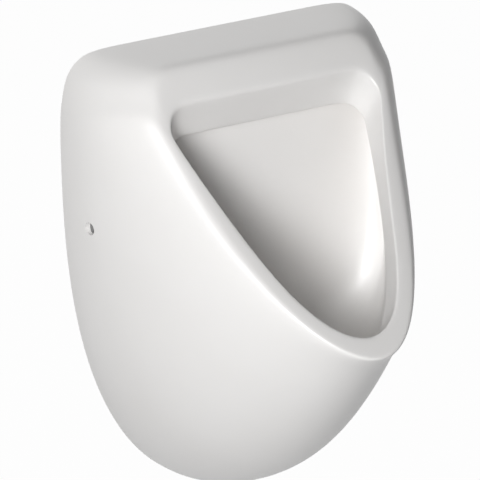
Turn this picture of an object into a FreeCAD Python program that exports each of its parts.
import FreeCAD, Part
import math
import os
import re
import Sketcher

# A wall hung urinal of glazed vitreous china, with its flush inlet, waste, P trap and
# side fixings. The wall is the plane Y = 0, the front is -Y and +Z is up. The origin
# lies on the wall, midway between the two fixing bolts. "Reach" is how far something
# stands out from the wall, "drop" how far it lies below the top of the body and "rise"
# how far it lies above the bottom of the body.

doc = FreeCAD.newDocument("wall_hung_urinal")
sheet = doc.addObject("Spreadsheet::Sheet", "Sizes")

SIZES = {
    # outline of the china against the wall
    "top_rise": 169.0, "body_width": 363.0, "body_height": 490.0, "back_top_width": 355.0,
    "back_corner": 37.0, "back_side_run": 28.0, "back_fullness": 2.7,
    # leaning front face: its reach at its top and at the rim's lowest point, and how far
    # it is dished between them
    "ledge_reach": 79.5, "lip_reach": 313.0, "face_dish": 25.8,
    # outer edge of the rim
    "rim_width": 267.0, "rim_top_width": 254.0, "rim_corner": 24.5, "rim_side_run": 19.0,
    "rim_taper": 0.384, "rim_fullness": 3.7, "rim_top_drop": 1.0, "rim_low_rise": 232.0,
    # opening in the front face
    "open_width": 236.0, "open_top_width": 243.0, "open_corner": 24.0, "open_side_run": 11.0,
    "open_taper": 0.584, "open_fullness": 7.7, "open_top_drop": 34.5, "open_low_rise": 252.5,
    # swell of the skirt between the wall and the rim
    "side_swell": 0.28, "belly_swell": 0.59, "belly_sag": 12.3, "belly_top_drop": 110.0,
    "rim_side_lead": 0.268, "rim_low_lead": 0.128, "rim_flare": 1.54, "rim_fall": -0.77,
    "rim_side_drop": 30.0,
    # hood that hangs round the inside of the opening and ends in a crisp edge
    "hood_drop": 40.0, "hood_draft": 14.0, "hood_width": 224.0, "hood_corner": 20.0,
    "hood_side_run": 6.0, "hood_taper": 0.5, "hood_fullness": 3.6, "hood_edge": 4.0,
    "lip_inner_drop": 26.0, "lip_inner_draft": 18.0, "roof_drop": 50.0,
    # bowl behind the hood
    "wall_reach": 60.0, "wall_slope": 24.0, "bowl_top_drop": 95.0, "bowl_width": 295.0,
    "bowl_front_reach": 240.0, "bowl_front_rise": 190.0, "bowl_floor_rise": 155.0,
    "bowl_corner": 26.0, "bowl_taper": 0.56, "bowl_fullness": 4.5,
    # china thickness and the flat end of the space behind the bowl
    "china": 11.0, "bulkhead_top_reach": 50.0, "bulkhead_low_reach": 200.0,
    # waste outlet of the bowl
    "drain_reach": 103.0, "drain_bore": 46.0, "drain_seat_width": 72.0, "drain_seat_depth": 6.0,
    "drain_boss": 23.0, "drain_boss_wall": 8.8, "drain_edge": 1.0,
    # side fixings
    "fixing_reach": 42.0, "fixing_bore": 13.0, "fixing_inset": 20.8, "bolt_spacing": 240.0,
    "bolt_bore": 9.0, "plate_lap": 12.0, "plate_height": 40.0, "arm_height": 20.0,
    "bracket_steel": 4.0, "bracket_depth": 48.0,
    "bush_length": 8.5, "bush_flange_width": 20.0, "bush_flange": 2.0, "bush_floor": 2.2,
    "bush_wall": 1.0, "screw_width": 6.0, "screw_head_width": 9.8, "screw_head": 3.6,
    "screw_socket": 5.0, "screw_tail": 5.0, "nut_across": 10.0, "nut_height": 6.0,
    # flush inlet
    "inlet_drop": 67.0, "inlet_bore": 20.0, "inlet_seat_width": 30.0, "inlet_china": 10.0,
    "inlet_pipe_width": 18.0, "inlet_pipe_bore": 13.0, "spreader_width": 26.0,
    "spreader_neck": 4.5, "spreader_nose": 3.5, "spreader_slot": 2.4, "inlet_seal": 1.5,
    "inlet_washer": 2.0, "inlet_nut_across": 27.0, "inlet_nut_height": 8.0,
    "spanner_gap": 2.7, "inlet_tail_reach": 14.0, "inlet_sleeve_width": 29.0,
    "inlet_sleeve_length": 34.0, "inlet_socket": 20.0,
    # waste fitting and strainer
    "flange_width": 66.0, "flange_height": 3.0, "gasket_height": 1.6, "tail_width": 40.0,
    "tail_bore": 35.0, "tail_length": 46.0, "under_gasket_width": 60.0,
    "under_gasket_height": 3.0, "locknut_across": 54.0, "locknut_height": 8.0,
    "strainer_width": 58.0, "strainer_rise": 14.0, "strainer_steel": 1.6,
    "strainer_hole": 5.0, "strainer_inner_circle": 22.0, "strainer_outer_circle": 46.0,
    "strainer_skirt": 16.0,
    # trap and outlet
    "pipe_width": 32.0, "pipe_bore": 27.0, "trap_seal_height": 2.0, "trap_collar": 3.0,
    "trap_nut_across": 50.0, "trap_nut_lap": 10.0, "nut_lip": 3.0, "trap_leg": 13.6,
    "trap_bend_radius": 30.0, "socket_wall": 3.2, "socket_depth": 14.0,
    "union_seal_height": 2.5, "union_nut_across": 45.0,
    "union_nut_lap": 10.0, "outlet_rise": 44.0, "outlet_bend_radius": 20.0,
    "outlet_pipe_reach": 12.0, "sleeve_wall": 4.0, "outlet_sleeve_length": 19.0,
    "outlet_socket": 40.0,
    # clearances
    "fit_gap": 0.3, "seal_gap": 0.2, "bottom_gap": 2.0,
}

for row, (size_name, size_value) in enumerate(SIZES.items(), start=1):
    sheet.set(f"A{row}", size_name)
    sheet.set(f"B{row}", str(size_value))
    sheet.setAlias(f"B{row}", size_name)
doc.recompute()


def size(name):
    return float(sheet.get(name))


# ---------------------------------------------------------------- outlines of the china

TOP_POINTS, CORNER_POINTS, SIDE_POINTS, LOW_POINTS = 3, 3, 2, 8
HALF_POINTS = TOP_POINTS + CORNER_POINTS + SIDE_POINTS + LOW_POINTS + 1

# where the rings of each part of the skin lie, as parts of the way along it
SKIRT_PARTS = (0.0, 0.08, 0.3, 0.55, 0.8, 0.97)
RIM_PARTS = (0.25, 0.72)
REVEAL_PARTS = (0.12, 0.55, 0.93)
ROOF_PARTS = ((0.55, 0.55), (0.9, 0.85))
BOWL_PARTS = (0.0, 0.25, 0.5, 0.7, 0.85, 0.95)
HOLLOW_PARTS = (0.0, 0.25, 0.6, 1.0)
DRAIN_EDGE_PARTS = ((0.6, 1.0), (1.0, 1.5))

# how late on its way down to the drain the bowl does each thing, as a power of the part
# of the way: its wall leaves its slope, its wall and front close in on the drain, its
# front sinks, it narrows, and its outline becomes blunt and then round
LEAVES_SLOPE, WALL_CLOSES, FRONT_CLOSES, FRONT_SINKS = 3.0, 4.0, 1.35, 1.3
NARROWS, BLUNTS, ROUNDS = 5.0, 2.0, 3.0

# the bead behind the hood's crisp edge, in thicknesses of that edge: outwards, inwards
# and upwards at its top, inwards and downwards at its bottom
BEAD_STEPS = ((0.5, 1.0, 0.25, 0.75, 1.0), (2.25, 2.0, 3.5, 2.5, 3.0))
ROOF_STEPS = (3.5, 2.0)
# how far the outside of the bowl goes on past the front face, in thicknesses of china
BLOCK_STEPS = (2, 9)


def between(first, second, part):
    """The number, point or outline that lies a part of the way from first to second."""
    if isinstance(first, (int, float)):
        return first + (second - first) * part
    return type(first)(between(a, b, part) for a, b in zip(first, second))


def shield(width, top_width, corner, side_run, taper, fullness, top, bottom):
    """Half of a shield outline from top middle to bottom middle, as (x, drop): a flat top,
    a round corner, a short side and a tapering lower part that closes in a round."""
    flat = top_width / 2 - corner
    widest = top + corner + side_run
    points = [(flat * i / TOP_POINTS, top) for i in range(TOP_POINTS)]
    for i in range(CORNER_POINTS + 1):
        turn = math.pi / 2 * i / CORNER_POINTS
        points.append((flat + corner * math.sin(turn), top + corner * (1 - math.cos(turn))))
    for i in range(1, SIDE_POINTS):
        points.append(between((top_width / 2, top + corner), (width / 2, widest), i / SIDE_POINTS))
    for i in range(LOW_POINTS + 1):
        part = math.sin(math.pi / 2 * i / LOW_POINTS)
        x = width / 2 * (1 - taper * part) * math.sqrt(max(0.0, 1 - part ** fullness))
        points.append((x, between(widest, bottom, part)))
    return points


def disc(radius):
    """Half of a circle with as many points as a shield, as (x, share of the diameter)."""
    turns = [math.pi * i / (HALF_POINTS - 1) for i in range(HALF_POINTS)]
    return [(radius * math.sin(turn), (1 - math.cos(turn)) / 2) for turn in turns]


def as_shares(outline, length):
    return [(x, drop / length) for x, drop in outline]


def whole(half_points):
    """A closed ring of (x, reach, drop) from its half on the +X side."""
    return half_points + [(-x, reach, drop) for x, reach, drop in half_points[-2:0:-1]]


def on_chord(outline, top, low):
    """A flat ring whose outline's shares run from the top point to the low point, both
    (reach, drop) in the plane of symmetry."""
    return whole([(x, *between(top, low, share)) for x, share in outline])


def low_drop(rise):
    """Drop of something whose rise above the bottom of the body is a named size."""
    return size("body_height") - size(rise)


def face_reach(drop):
    """Reach of the leaning, slightly dished front face at a drop."""
    part = drop / low_drop("rim_low_rise")
    dish = 4 * size("face_dish") * part * (1 - part)
    return between(size("ledge_reach"), size("lip_reach"), part) - dish


def on_face(outline):
    return whole([(x, face_reach(drop), drop) for x, drop in outline])


def back_outline(inset=0.0):
    """Half of the outline on the wall, or of the one that lies inside it by an inset."""
    return shield(size("body_width") - 2 * inset, size("back_top_width") - 2 * inset,
                  size("back_corner") - inset / 2, size("back_side_run"), 0.0,
                  size("back_fullness"), inset, size("body_height") - inset)


def rim_outline(inset=0.0):
    """Half of the rim's outer edge, or of the one that lies inside it by an inset."""
    return shield(size("rim_width") - 2 * inset, size("rim_top_width") - 2 * inset,
                  size("rim_corner") - inset / 2, size("rim_side_run"), size("rim_taper"),
                  size("rim_fullness"), size("rim_top_drop") + inset,
                  low_drop("rim_low_rise") - inset)


def open_outline():
    """Half of the opening's outline in the front face."""
    return shield(size("open_width"), size("open_top_width"), size("open_corner"),
                  size("open_side_run"), size("open_taper"), size("open_fullness"),
                  size("open_top_drop"), low_drop("open_low_rise"))


def skirt_lines(inset=0.0):
    """The lines that the skirt follows from the wall to the rim. Each is a cubic curve
    through four points, which leaves the wall straight and arrives from beyond the rim."""
    lines = []
    belly_run = size("body_height") - size("belly_top_drop")
    lip_run = low_drop("rim_low_rise") - size("rim_side_drop")
    for (back_x, back_drop), (rim_x, rim_drop) in zip(back_outline(inset), rim_outline(inset)):
        reach = face_reach(rim_drop) - inset
        belly = max(0.0, (back_drop - size("belly_top_drop")) / belly_run)
        lip = min(1.0, max(0.0, (rim_drop - size("rim_side_drop")) / lip_run))
        swell = between(size("side_swell"), size("belly_swell"), belly)
        lead = reach * between(size("rim_side_lead"), size("rim_low_lead"), lip)
        flare = rim_x / (size("rim_width") / 2) * size("rim_flare") * lead
        lines.append(((back_x, 0.0, back_drop),
                      (back_x, swell * reach, back_drop + belly * size("belly_sag")),
                      (rim_x + flare, reach - lead, rim_drop + lip * size("rim_fall") * lead),
                      (rim_x, reach, rim_drop)))
    return lines


def along(line, part):
    """The point at a part of the way along a cubic curve."""
    while len(line) > 1:
        line = [between(a, b, part) for a, b in zip(line, line[1:])]
    return line[0]


def bowl_ring(part, china=0.0):
    """Ring of the bowl, from the top of its back wall (0) to the flat round its drain (1).
    It turns from leaning to level, narrows and becomes round. With a thickness of china it
    is the outside of the bowl. Returns an outline, its back point and its front point."""
    flat = drain_flat()
    end = low_drop("bowl_floor_rise")
    drain_back, drain_front = size("drain_reach") - flat, size("drain_reach") + flat
    back = (between(size("wall_reach"), drain_back, part ** WALL_CLOSES)
            + size("wall_slope") * part * (1 - part ** LEAVES_SLOPE) - china,
            between(size("bowl_top_drop"), end, part))
    front = (between(size("bowl_front_reach"), drain_front, part ** FRONT_CLOSES)
             + china * (1 - part),
             between(low_drop("bowl_front_rise"), end, 1 - (1 - part) ** FRONT_SINKS) + china)
    half = between(size("bowl_width") / 2, flat, part ** NARROWS) + china
    corner = between(size("bowl_corner"), flat / 2, part)
    length = math.dist(back, front)
    squared = shield(2 * half, 2 * half, corner, corner / 6,
                     size("bowl_taper") * (1 - part ** BLUNTS),
                     between(size("bowl_fullness"), 2.0, part), 0.0, length)
    rounded = between(as_shares(squared, length), disc(half), part ** ROUNDS)
    return rounded, back, front


def drain_flat():
    """Radius of the level floor round the drain."""
    return size("drain_seat_width") / 2 + 2 * size("fit_gap")


def drain_ring(radius, drop):
    reach = size("drain_reach")
    return on_chord(disc(radius), (reach - radius, drop), (reach + radius, drop))


def hood_rings():
    """Rings from the hood's crisp edge round behind it and up to the roof of the bowl."""
    top = (face_reach(size("open_top_drop")) - size("hood_draft"),
           size("open_top_drop") + size("hood_drop"))
    low = (face_reach(low_drop("open_low_rise")) - size("lip_inner_draft"),
           low_drop("open_low_rise") + size("lip_inner_drop"))
    length = math.dist(top, low)
    crisp = shield(size("hood_width"), size("hood_width"), size("hood_corner"),
                   size("hood_side_run"), size("hood_taper"), size("hood_fullness"), 0.0, length)
    crisp = as_shares(crisp, length)
    bowl, bowl_back, bowl_front = bowl_ring(0.0)
    edge = size("hood_edge")

    rings = [on_chord(crisp, top, low)]
    for out, top_in, top_up, low_in, low_down in BEAD_STEPS:
        wider = [(x * (1 + out * edge / (size("hood_width") / 2)), share) for x, share in crisp]
        rings.append(on_chord(wider, (top[0] - top_in * edge, top[1] - top_up * edge),
                              (low[0] - low_in * edge, low[1] + low_down * edge)))
    roof = size("roof_drop")
    roof_backs = ((top[0] - ROOF_STEPS[0] * edge, roof), (bowl_back[0], roof + ROOF_STEPS[1] * edge))
    for back, (part, low_part) in zip(roof_backs, ROOF_PARTS):
        rings.append(on_chord(between(crisp, bowl, part), back, between(low, bowl_front, low_part)))
    return rings


def skin_rings():
    """All rings of the glazed skin: skirt, rim, hood, bowl and drain."""
    skirt = skirt_lines()
    rings = [whole([along(line, part) for line in skirt]) for part in SKIRT_PARTS]
    rings += [on_face(between(rim_outline(), open_outline(), part)) for part in RIM_PARTS]
    opening, hood = on_face(open_outline()), hood_rings()
    rings.append(opening)
    rings += [between(opening, hood[0], part) for part in REVEAL_PARTS]
    rings += hood
    rings += [on_chord(*bowl_ring(part)) for part in BOWL_PARTS]
    flat, bore, floor = drain_flat(), size("drain_bore") / 2, low_drop("bowl_floor_rise")
    rings.append(drain_ring(flat, floor))
    for part, depth in DRAIN_EDGE_PARTS:
        rings.append(drain_ring(between(flat, bore, part), floor + depth * size("drain_edge")))
    for depth in (size("drain_seat_depth"), size("drain_boss") + size("china") / 2):
        rings.append(drain_ring(bore, floor + depth))
    return rings


def hollow_rings():
    """Rings of the space inside the skirt, from beyond the wall to a flat bulkhead."""
    china = size("china")
    lines = skirt_lines(china)
    top = (size("bulkhead_top_reach"), 0.0)
    low = (size("bulkhead_low_reach"), low_drop("bowl_floor_rise") + 2 * china)

    def ends_at(line):
        """How far along the line the leaning bulkhead cuts it off."""
        start, end = 0.0, 1.0
        for _ in range(30):
            middle = (start + end) / 2
            _, reach, drop = along(line, middle)
            within = (reach - top[0]) * (low[1] - top[1]) < (drop - top[1]) * (low[0] - top[0])
            start, end = (middle, end) if within else (start, middle)
        return start

    ends = [ends_at(line) for line in lines]
    rings = [whole([(line[0][0], -china, line[0][2]) for line in lines])]
    for part in HOLLOW_PARTS:
        rings.append(whole([along(line, part * end) for line, end in zip(lines, ends)]))
    return rings


def bowl_block_rings():
    """Rings of the bowl with its china, from the drain's boss up and out past the face."""
    china, floor = size("china"), low_drop("bowl_floor_rise")
    boss = size("drain_seat_width") / 2 + size("drain_boss_wall")
    rings = [drain_ring(boss, floor + size("drain_boss")),
             drain_ring(boss, floor + between(china, size("drain_boss"), 0.5))]
    rings += [on_chord(*bowl_ring(part, china)) for part in reversed(BOWL_PARTS[:-1])]
    outline, back, front = bowl_ring(0.0, china)
    for drop, steps in zip((size("roof_drop") - china, -china), BLOCK_STEPS):
        step = steps * china
        rings.append(on_chord(outline, (back[0], drop), (front[0] + step, front[1] - step)))
    return rings


def to_vector(point):
    x, reach, drop = point
    return FreeCAD.Vector(x, -reach, size("top_rise") - drop)


def smooth_solid(rings):
    """A solid whose skin is a smooth surface with the rings' points as its control points,
    closed by flat faces on its first and last ring."""
    rows = [[to_vector(point) for point in ring] for ring in rings]
    near_first = [a * (2 / 3) + b * (1 / 3) for a, b in zip(rows[0], rows[1])]
    near_last = [a * (2 / 3) + b * (1 / 3) for a, b in zip(rows[-1], rows[-2])]
    poles = [rows[0], near_first] + rows[1:-1] + [near_last, rows[-1]]
    spans, around = len(rows) - 1, len(rows[0])
    surface = Part.BSplineSurface()
    surface.buildFromPolesMultsKnots(
        poles, [4] + [1] * (spans - 1) + [4], [1] * (around + 1),
        [float(i) for i in range(spans + 1)], [float(i) for i in range(around + 1)],
        False, True, 3, 3)
    skin = surface.toShape()
    ends = [Part.Face(Part.Wire([edge])) for edge in skin.Edges if not edge.isSeam(skin)]
    shell = Part.Shell([skin] + ends)
    shell.sewShape(1e-5)
    solid = Part.Solid(shell)
    solid.fix(1e-6, 1e-6, 1e-6)
    return solid if solid.Volume > 0 else solid.reversed()


# ---------------------------------------------------------------- helpers for the objects

nodes = []

# the ways that an object's own upright axis can be turned, as (axis, angle)
TO_FRONT = ((1, 0, 0), 90)
TO_RIGHT = ((0, 1, 0), 90)
TO_LEFT = ((0, 1, 0), -90)
DOWN = ((1, 0, 0), 180)


def cells(expression):
    """Turn the names of sizes in an expression into cells of the sheet."""
    return re.sub(r"[a-z]\w*", lambda word: f"Sizes.{word[0]}" if word[0] in SIZES else word[0],
                  str(expression))


def place(thing, x=0, y=0, z=0, turn=None):
    """Put an object at a place given by expressions, turned about an axis first."""
    if turn:
        axis, angle = turn
        rotation = FreeCAD.Rotation(FreeCAD.Vector(*axis), angle)
        thing.Placement = FreeCAD.Placement(FreeCAD.Vector(), rotation)
    for axis, spot in (("x", x), ("y", y), ("z", z)):
        thing.setExpression(f"Placement.Base.{axis}", cells(spot))
    return thing


def node(thing, name):
    """Name a finished sub-part."""
    thing.Label = name
    nodes.append(thing)
    return thing


def at_reach(reach):
    return f"-({reach})"


def at_drop(drop):
    return f"top_rise - ({drop})"


def cylinder(name, diameter, length, x=0, y=0, z=0, turn=None):
    rod = doc.addObject("Part::Cylinder", name)
    rod.setExpression("Radius", cells(f"({diameter}) / 2"))
    rod.setExpression("Height", cells(length))
    return place(rod, x, y, z, turn)


def cut(name, base, tool):
    less = doc.addObject("Part::Cut", name)
    less.Base = base
    less.Tool = tool
    return less


def fuse(name, *shapes):
    joined = doc.addObject("Part::MultiFuse", name)
    joined.Shapes = list(shapes)
    return joined


def ring(name, outer, inner, length, x=0, y=0, z=0, turn=None):
    """A washer or gasket, finished as a sub-part."""
    return node(cut(name, cylinder(name + "_disc", outer, length, x, y, z, turn),
                    cylinder(name + "_hole", inner, length, x, y, z, turn)), name)


def hex_nut(name, across, length, bores, x=0, y=0, z=0, turn=None):
    """A hexagon nut. Its bores are (diameter, depth) from the end that stands on its place."""
    prism = doc.addObject("Part::Prism", name + "_hexagon")
    prism.Polygon = 6
    prism.setExpression("Circumradius", cells(f"({across}) / sqrt(3)"))
    prism.setExpression("Height", cells(length))
    place(prism, x, y, z, turn)
    holes = [cylinder(f"{name}_bore_{i}", diameter, depth, x, y, z, turn)
             for i, (diameter, depth) in enumerate(bores)]
    hole = holes[0] if len(holes) == 1 else fuse(name + "_bores", *holes)
    return node(cut(name, prism, hole), name)


def sketch(body, name, plane, corners=(), circles=()):
    """A sketch on one of a body's own planes: a closed outline through corners, given as
    (x, y), and circles, given as (x, y, diameter), all held by dimensions of the sheet."""
    drawing = body.newObject("Sketcher::SketchObject", name)
    origin = next(feature for feature in body.Origin.OriginFeatures if feature.Role == plane)
    drawing.AttachmentSupport = [(origin, "")]
    drawing.MapMode = "FlatFace"
    count = len(corners)
    turns = [2 * math.pi * i / count for i in range(count)]
    rough = [FreeCAD.Vector(20 * math.cos(turn), 20 * math.sin(turn), 0) for turn in turns]
    for i in range(count):
        drawing.addGeometry(Part.LineSegment(rough[i], rough[(i + 1) % count]), False)
    for i in range(count):
        drawing.addConstraint(Sketcher.Constraint("Coincident", i, 2, (i + 1) % count, 1))
    for i, corner in enumerate(corners):
        hold_point(drawing, i, 1, corner)
    for x, y, diameter in circles:
        round_edge = Part.Circle(FreeCAD.Vector(1, 1, 0), FreeCAD.Vector(0, 0, 1), 2)
        index = drawing.addGeometry(round_edge, False)
        hold_point(drawing, index, 3, (x, y))
        held = drawing.addConstraint(Sketcher.Constraint("Diameter", index, 4.0))
        drawing.setExpression(f"Constraints[{held}]", cells(diameter))
    return drawing


def hold_point(drawing, index, end, spot):
    """Hold a point of a sketch at a place given by two expressions."""
    for kind, expression in zip(("DistanceX", "DistanceY"), spot):
        held = drawing.addConstraint(Sketcher.Constraint(kind, -1, 1, index, end, 1.0))
        drawing.setExpression(f"Constraints[{held}]", cells(expression))


def turned(name, profile, x=0, y=0, z=0, turn=None):
    """A body of revolution about its own upright axis from a profile of (radius, height)."""
    body = doc.addObject("PartDesign::Body", name)
    outline = sketch(body, name + "_profile", "XZ_Plane", profile)
    spin = body.newObject("PartDesign::Revolution", name + "_spin")
    spin.Profile = outline
    spin.ReferenceAxis = (outline, ["V_Axis"])
    spin.Angle = 360.0
    return place(body, x, y, z, turn)


# ---------------------------------------------------------------- bowl

def smooth_feature(name, rings):
    feature = doc.addObject("Part::Feature", name)
    feature.Shape = smooth_solid(rings)
    feature.Placement = FreeCAD.Placement()
    return feature


INLET_Z = at_drop("inlet_drop")
SIDE_SEAT = "(body_width / 2 - fixing_inset)"
SIDES = {"left": (-1, TO_LEFT), "right": (1, TO_RIGHT)}

glazed = cut("glazed_shell", smooth_feature("glazed_skin", skin_rings()),
             cut("back_space", smooth_feature("skirt_space", hollow_rings()),
                 smooth_feature("bowl_block", bowl_block_rings())))

FLOOR_DROP = "(body_height - bowl_floor_rise)"
SEAT_DROP = f"({FLOOR_DROP} + drain_seat_depth)"
holes = [
    cylinder("drain_seat", "drain_seat_width", "drain_seat_depth + bottom_gap",
             y=at_reach("drain_reach"), z=at_drop(SEAT_DROP)),
    cylinder("inlet_hole", "inlet_bore", "wall_reach + bottom_gap", z=INLET_Z, turn=TO_FRONT),
    cylinder("inlet_front_seat", "inlet_seat_width", "spreader_neck + spreader_nose + bottom_gap",
             y=at_reach("wall_reach"), z=INLET_Z, turn=TO_FRONT),
    cylinder("inlet_back_seat", "inlet_nut_across + 2 * spanner_gap", "wall_reach - inlet_china",
             z=INLET_Z, turn=TO_FRONT),
]
for side, (sign, turn) in SIDES.items():
    spot = {"y": at_reach("fixing_reach"), "turn": turn}
    holes.append(cylinder(side + "_hole", "fixing_bore", "2 * fixing_inset",
                          x=f"{sign} * ({SIDE_SEAT} - bush_flange)", **spot))
    holes.append(cylinder(side + "_seat", "bush_flange_width + bottom_gap", "fixing_inset",
                          x=f"{sign} * ({SIDE_SEAT} - fixing_inset)", **spot))
node(cut("bowl", glazed, fuse("bowl_holes", *holes)), "bowl")


# ---------------------------------------------------------------- flush inlet

HEAD = "(inlet_seal + spreader_neck + spreader_nose)"
spreader_form = turned("spreader_form", [
    ("inlet_pipe_bore / 2", "inlet_tail_reach - wall_reach"),
    ("inlet_pipe_width / 2", "inlet_tail_reach - wall_reach"),
    ("inlet_pipe_width / 2", "inlet_seal"),
    ("spreader_width / 2", "inlet_seal"),
    ("spreader_width / 2", "inlet_seal + spreader_neck"),
    ("inlet_pipe_width / 2", HEAD),
    ("0", HEAD),
    ("0", "inlet_seal + spreader_neck"),
    ("inlet_pipe_bore / 2", "inlet_seal + spreader_neck"),
], y=at_reach("wall_reach"), z=INLET_Z, turn=TO_FRONT)
slot = doc.addObject("Part::Box", "spreader_slot")
slot.setExpression("Length", cells("inlet_pipe_width"))
slot.setExpression("Width", cells("spreader_slot"))
slot.setExpression("Height", cells("spreader_width"))
place(slot, x="-inlet_pipe_width / 2", y=at_reach("wall_reach + inlet_seal + spreader_neck"),
      z=at_drop("inlet_drop + spreader_width"))
node(cut("inlet_spreader", spreader_form, slot), "inlet_spreader")

ring("spreader_seal", "spreader_width", "inlet_pipe_width + 2 * seal_gap", "inlet_seal",
     y=at_reach("wall_reach"), z=INLET_Z, turn=TO_FRONT)
ring("inlet_washer", "inlet_nut_across", "inlet_pipe_width + 2 * seal_gap", "inlet_washer",
     y=at_reach("wall_reach - inlet_china - inlet_washer"), z=INLET_Z, turn=TO_FRONT)
hex_nut("inlet_locknut", "inlet_nut_across", "inlet_nut_height",
        [("inlet_pipe_width + 2 * seal_gap", "inlet_nut_height")],
        y=at_reach("wall_reach - inlet_china - inlet_washer - inlet_nut_height"),
        z=INLET_Z, turn=TO_FRONT)
node(turned("inlet_sleeve", [
    ("inlet_socket / 2", "0"),
    ("inlet_sleeve_width / 2", "0"),
    ("inlet_sleeve_width / 2", "inlet_sleeve_length"),
    ("inlet_pipe_width / 2 + seal_gap", "inlet_sleeve_length"),
    ("inlet_pipe_width / 2 + seal_gap", "inlet_tail_reach - fit_gap"),
    ("inlet_socket / 2", "inlet_tail_reach - fit_gap"),
], z=INLET_Z, turn=TO_FRONT), "inlet_sleeve")


# ---------------------------------------------------------------- waste fitting

DRAIN_Y = at_reach("drain_reach")
FLANGE_DROP = f"({SEAT_DROP} - gasket_height)"
BOSS_DROP = f"({FLOOR_DROP} + drain_boss)"
TAIL_END = f"({FLANGE_DROP} + tail_length)"

node(turned("waste_fitting", [
    ("tail_bore / 2", "-tail_length"),
    ("tail_width / 2", "-tail_length"),
    ("tail_width / 2", "0"),
    ("flange_width / 2", "0"),
    ("flange_width / 2", "flange_height"),
    ("tail_bore / 2", "flange_height"),
], y=DRAIN_Y, z=at_drop(FLANGE_DROP)), "waste_fitting")
ring("waste_gasket", "flange_width", "tail_width + 2 * seal_gap", "gasket_height",
     y=DRAIN_Y, z=at_drop(SEAT_DROP))
ring("under_gasket", "under_gasket_width", "tail_width + 2 * seal_gap", "under_gasket_height",
     y=DRAIN_Y, z=at_drop(f"{BOSS_DROP} + under_gasket_height"))
hex_nut("waste_locknut", "locknut_across", "locknut_height",
        [("tail_width + 2 * seal_gap", "locknut_height")],
        y=DRAIN_Y, z=at_drop(f"{BOSS_DROP} + under_gasket_height + locknut_height"))


# ---------------------------------------------------------------- strainer

STRAINER_HOLES = (("strainer_inner_circle", 6), ("strainer_outer_circle", 14))


def strainer():
    """A pierced steel dome on a skirt that drops into the waste fitting."""
    rest = f"{FLANGE_DROP} - flange_height - fit_gap"
    spot = {"y": DRAIN_Y, "z": at_drop(rest)}
    reach = "strainer_width / 2"
    radius = f"(({reach}) ^ 2 + strainer_rise ^ 2) / (2 * strainer_rise)"
    below = {"y": DRAIN_Y, "z": at_drop(f"{rest} - strainer_rise + {radius}")}
    balls = []
    for name, less in (("outer", "0"), ("inner", "strainer_steel")):
        ball = doc.addObject("Part::Sphere", f"strainer_{name}_ball")
        ball.setExpression("Radius", cells(f"{radius} - {less}"))
        balls.append(place(ball, **below))
    dome = doc.addObject("Part::Common", "strainer_dome")
    dome.Base = cut("strainer_ball", *balls)
    dome.Tool = cylinder("strainer_edge", "strainer_width", "strainer_rise", **spot)
    skirt_width = "(tail_bore - 2 * fit_gap)"
    skirt = cut("strainer_sleeve",
                cylinder("strainer_sleeve_rod", skirt_width, "strainer_skirt + strainer_rise",
                         y=DRAIN_Y, z=at_drop(f"{rest} + strainer_skirt")),
                cylinder("strainer_sleeve_bore", f"{skirt_width} - 2 * strainer_steel",
                         "strainer_skirt + strainer_rise",
                         y=DRAIN_Y, z=at_drop(f"{rest} + strainer_skirt")))
    middle = doc.addObject("Part::Sphere", "strainer_middle_ball")
    middle.setExpression("Radius", cells(f"{radius} - strainer_steel / 2"))
    place(middle, **below)
    under_dome = cylinder("strainer_sleeve_below", "strainer_width", "strainer_skirt",
                          y=DRAIN_Y, z=at_drop(f"{rest} + strainer_skirt"))
    trimmed_skirt = doc.addObject("Part::MultiCommon", "strainer_trimmed_sleeve")
    trimmed_skirt.Shapes = [skirt, fuse("strainer_sleeve_limit", middle, under_dome)]
    piercings = [cylinder("strainer_hole_0", "strainer_hole", "2 * strainer_rise", **spot)]
    for circle, count in STRAINER_HOLES:
        for i in range(count):
            turn = 2 * math.pi * i / count
            piercings.append(cylinder(
                f"{circle}_{i}", "strainer_hole", "2 * strainer_rise",
                x=f"{circle} / 2 * {math.sin(turn):.6f}",
                y=f"-drain_reach + {circle} / 2 * {math.cos(turn):.6f}", z=spot["z"]))
    return cut("waste_strainer", fuse("strainer_form", dome, trimmed_skirt),
               fuse("strainer_piercings", *piercings))


node(strainer(), "waste_strainer")


# ---------------------------------------------------------------- trap

NUT_BORE = "pipe_width + 2 * fit_gap"
COLLAR_DROP = f"({TAIL_END} + trap_seal_height)"
BEND_DROP = f"({COLLAR_DROP} + trap_leg)"
OUTLET_DROP = f"({BEND_DROP} - outlet_rise)"
SOCKET_FLOOR = f"({BEND_DROP} - socket_wall)"
UNION_REACH = "(drain_reach - 2 * trap_bend_radius)"
SOCKET_TOP = f"({SOCKET_FLOOR} - socket_depth)"
SOCKET_WIDTH = "(pipe_width + 2 * fit_gap + 2 * socket_wall)"


def bend(name, diameter, radius, angle, centre, toward):
    """Part of a ring-shaped pipe bend in the plane of symmetry. It starts nearer the front
    than its centre and turns down or up towards the wall."""
    elbow = doc.addObject("Part::Torus", name)
    elbow.setExpression("Radius1", cells(radius))
    elbow.setExpression("Radius2", cells(f"({diameter}) / 2"))
    elbow.Angle3 = angle
    starts, turns, axis = toward
    elbow.Placement = FreeCAD.Placement(FreeCAD.Vector(), FreeCAD.Rotation(
        FreeCAD.Vector(*starts), FreeCAD.Vector(*turns), FreeCAD.Vector(*axis), "XYZ"))
    return place(elbow, y=at_reach(centre[0]), z=at_drop(centre[1]))


DOWN_AND_BACK = ((0, -1, 0), (0, 0, -1), (1, 0, 0))
UP_AND_BACK = ((0, -1, 0), (0, 0, 1), (-1, 0, 0))


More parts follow.
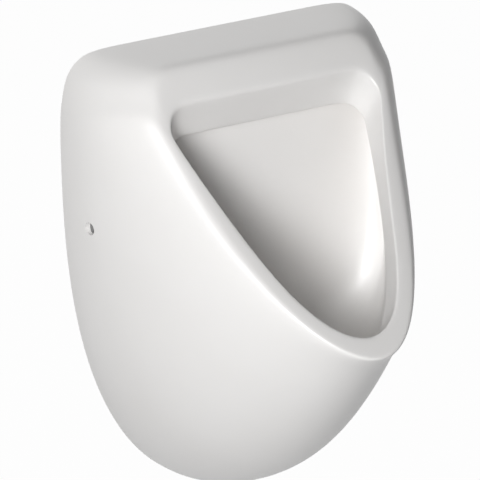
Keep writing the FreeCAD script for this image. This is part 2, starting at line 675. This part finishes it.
def trap_bend_solid(name, diameter):
    """The U bend with its two upright legs, or the water's way through it."""
    inlet_leg = cylinder(name + "_inlet_leg", diameter, "trap_leg",
                         y=DRAIN_Y, z=at_drop(BEND_DROP))
    turn = bend(name + "_turn", diameter, "trap_bend_radius", 180.0,
                ("drain_reach - trap_bend_radius", BEND_DROP), DOWN_AND_BACK)
    outlet_leg = cylinder(name + "_outlet_leg", diameter, "socket_wall",
                          y=at_reach(UNION_REACH), z=at_drop(BEND_DROP))
    return [inlet_leg, turn, outlet_leg]


collar = cylinder("trap_collar_disc", "tail_width", "trap_collar", y=DRAIN_Y,
                  z=at_drop(f"{COLLAR_DROP} + trap_collar"))
socket_wall = cylinder("trap_socket", SOCKET_WIDTH, "socket_depth + socket_wall",
                       y=at_reach(UNION_REACH), z=at_drop(BEND_DROP))
socket_bore = cylinder("trap_socket_bore", NUT_BORE, "socket_depth",
                       y=at_reach(UNION_REACH), z=at_drop(SOCKET_FLOOR))
node(cut("trap_bend",
         fuse("trap_outside", *trap_bend_solid("trap_wall", "pipe_width"), collar, socket_wall),
         fuse("trap_waterway", *trap_bend_solid("trap_bore", "pipe_bore"), socket_bore)),
     "trap_bend")

ring("trap_inlet_seal", "tail_width", "pipe_bore + 2 * seal_gap", "trap_seal_height",
     y=DRAIN_Y, z=at_drop(COLLAR_DROP))
INLET_NUT_END = f"({COLLAR_DROP} + trap_collar + fit_gap + nut_lip)"
hex_nut("trap_inlet_nut", "trap_nut_across",
        f"{INLET_NUT_END} - {TAIL_END} + trap_nut_lap",
        [("tail_width + 2 * seal_gap", f"{INLET_NUT_END} - {TAIL_END} + trap_nut_lap - nut_lip"),
         (NUT_BORE, f"{INLET_NUT_END} - {TAIL_END} + trap_nut_lap")],
        y=DRAIN_Y, z=at_drop(f"{TAIL_END} - trap_nut_lap"), turn=DOWN)

ring("union_seal", SOCKET_WIDTH, "pipe_width + 2 * seal_gap", "union_seal_height",
     y=at_reach(UNION_REACH), z=at_drop(SOCKET_TOP))
hex_nut("union_nut", "union_nut_across",
        "union_nut_lap + union_seal_height + fit_gap + nut_lip",
        [(f"{SOCKET_WIDTH} + 2 * seal_gap", "union_nut_lap + union_seal_height + fit_gap"),
         (NUT_BORE, "union_nut_lap + union_seal_height + fit_gap + nut_lip")],
        y=at_reach(UNION_REACH), z=at_drop(f"{SOCKET_TOP} + union_nut_lap"))


def outlet_solid(name, diameter):
    """The outlet elbow from the union up and back to the wall, or its waterway."""
    foot = f"({SOCKET_FLOOR} - bottom_gap)"
    bend_drop = f"({OUTLET_DROP} + outlet_bend_radius)"
    return [
        cylinder(name + "_leg", diameter, f"{foot} - {bend_drop}",
                 y=at_reach(UNION_REACH), z=at_drop(foot)),
        bend(name + "_turn", diameter, "outlet_bend_radius", 90.0,
             (f"{UNION_REACH} - outlet_bend_radius", bend_drop), UP_AND_BACK),
        cylinder(name + "_arm", diameter,
                 f"{UNION_REACH} - outlet_bend_radius - outlet_pipe_reach",
                 y=at_reach("outlet_pipe_reach"), z=at_drop(OUTLET_DROP), turn=TO_FRONT),
    ]


node(cut("outlet_elbow", fuse("outlet_outside", *outlet_solid("outlet_wall", "pipe_width")),
         fuse("outlet_waterway", *outlet_solid("outlet_bore", "pipe_bore"))), "outlet_elbow")
node(turned("outlet_sleeve", [
    ("outlet_socket / 2", "0"),
    ("outlet_socket / 2 + sleeve_wall", "0"),
    ("outlet_socket / 2 + sleeve_wall", "outlet_sleeve_length"),
    ("pipe_width / 2 + seal_gap", "outlet_sleeve_length"),
    ("pipe_width / 2 + seal_gap", "outlet_pipe_reach - fit_gap"),
    ("outlet_socket / 2", "outlet_pipe_reach - fit_gap"),
], z=at_drop(OUTLET_DROP), turn=TO_FRONT), "outlet_sleeve")


# ---------------------------------------------------------------- side fixings

def bracket(side, sign):
    """An angle of steel: a plate that the wall bolt holds and an arm beside the skirt."""
    outer = f"({SIDE_SEAT} - bush_flange - fit_gap)"
    body = doc.addObject("PartDesign::Body", side + "_bracket")
    inner_end = f"{sign} * (bolt_spacing / 2 - plate_lap)"
    outer_end = f"{sign} * {outer}"
    plate = body.newObject("PartDesign::Pad", side + "_plate")
    plate.Profile = sketch(body, side + "_plate_outline", "XZ_Plane", [
        (inner_end, "-plate_height / 2"), (outer_end, "-plate_height / 2"),
        (outer_end, "plate_height / 2"), (inner_end, "plate_height / 2"),
    ], [(f"{sign} * bolt_spacing / 2", "0", "bolt_bore")])
    plate.setExpression("Length", cells("bracket_steel"))
    arm = body.newObject("PartDesign::Pad", side + "_arm")
    outline = sketch(body, side + "_arm_outline", "YZ_Plane", [
        ("0", "-arm_height / 2"), ("-bracket_depth", "-arm_height / 2"),
        ("-bracket_depth", "arm_height / 2"), ("0", "arm_height / 2"),
    ], [("-fixing_reach", "0", "screw_width + 2 * fit_gap")])
    arm_middle = f"{sign} * ({outer} - bracket_steel / 2)"
    outline.setExpression("AttachmentOffset.Base.z", cells(arm_middle))
    arm.Profile = outline
    arm.SideType = "Symmetric"
    arm.setExpression("Length", cells("bracket_steel"))
    return place(body)


def side_screw(side, sign, turn):
    """A socket head screw that draws the skirt onto the bracket's arm."""
    seat = f"{sign} * ({SIDE_SEAT} + bush_floor + fit_gap)"
    shank = "bush_floor + bush_flange + 2 * fit_gap + bracket_steel + nut_height + screw_tail"
    spot = {"x": seat, "y": at_reach("fixing_reach"), "turn": turn}
    inwards = {**spot, "turn": TO_RIGHT if sign < 0 else TO_LEFT}
    rod = cylinder(side + "_shank", "screw_width", shank, **inwards)
    head = cylinder(side + "_head", "screw_head_width", "screw_head", **spot)
    socket = doc.addObject("Part::Prism", side + "_socket")
    socket.Polygon = 6
    socket.setExpression("Circumradius", cells("screw_socket / sqrt(3)"))
    socket.setExpression("Height", cells("screw_head"))
    place(socket, x=f"{seat} + {sign} * screw_head / 3", y=at_reach("fixing_reach"), turn=turn)
    return cut(side + "_side_screw", fuse(side + "_screw_form", rod, head), socket)


for side, (sign, turn) in SIDES.items():
    node(bracket(side, sign), side + "_bracket")
    node(turned(side + "_side_bush", [
        ("screw_width / 2 + fit_gap", "-bush_flange"),
        ("bush_flange_width / 2", "-bush_flange"),
        ("bush_flange_width / 2", "0"),
        ("fixing_bore / 2 - fit_gap", "0"),
        ("fixing_bore / 2 - fit_gap", "bush_length"),
        ("fixing_bore / 2 - fit_gap - bush_wall", "bush_length"),
        ("fixing_bore / 2 - fit_gap - bush_wall", "bush_floor"),
        ("screw_width / 2 + fit_gap", "bush_floor"),
    ], x=f"{sign} * {SIDE_SEAT}", y=at_reach("fixing_reach"), turn=turn), side + "_side_bush")
    node(side_screw(side, sign, turn), side + "_side_screw")
    nut_seat = f"{sign} * ({SIDE_SEAT} - bush_flange - fit_gap - bracket_steel - nut_height)"
    hex_nut(side + "_clamp_nut", "nut_across", "nut_height",
            [("screw_width + 2 * seal_gap", "nut_height")],
            x=nut_seat, y=at_reach("fixing_reach"), turn=turn)


# ---------------------------------------------------------------- checks and files

doc.recompute()
for thing in doc.Objects:
    if "Invalid" in thing.State or "Error" in thing.State:
        raise RuntimeError(f"{thing.Label} failed: {thing.State}")
for part in nodes:
    if part.Shape.isNull() or not part.Shape.isValid():
        raise RuntimeError(f"{part.Label} has no valid shape")

os.makedirs("parts", exist_ok=True)
for part in nodes:
    part.Shape.exportStep(f"parts/{part.Label}.step")
    box = part.Shape.optimalBoundingBox()
    print(f"{part.Label:18} {len(part.Shape.Solids)} solid {part.Shape.Volume / 1000:9.2f} ml"
          f"  x {box.XMin:7.1f} {box.XMax:7.1f}  y {box.YMin:7.1f} {box.YMax:7.1f}"
          f"  z {box.ZMin:7.1f} {box.ZMax:7.1f}")
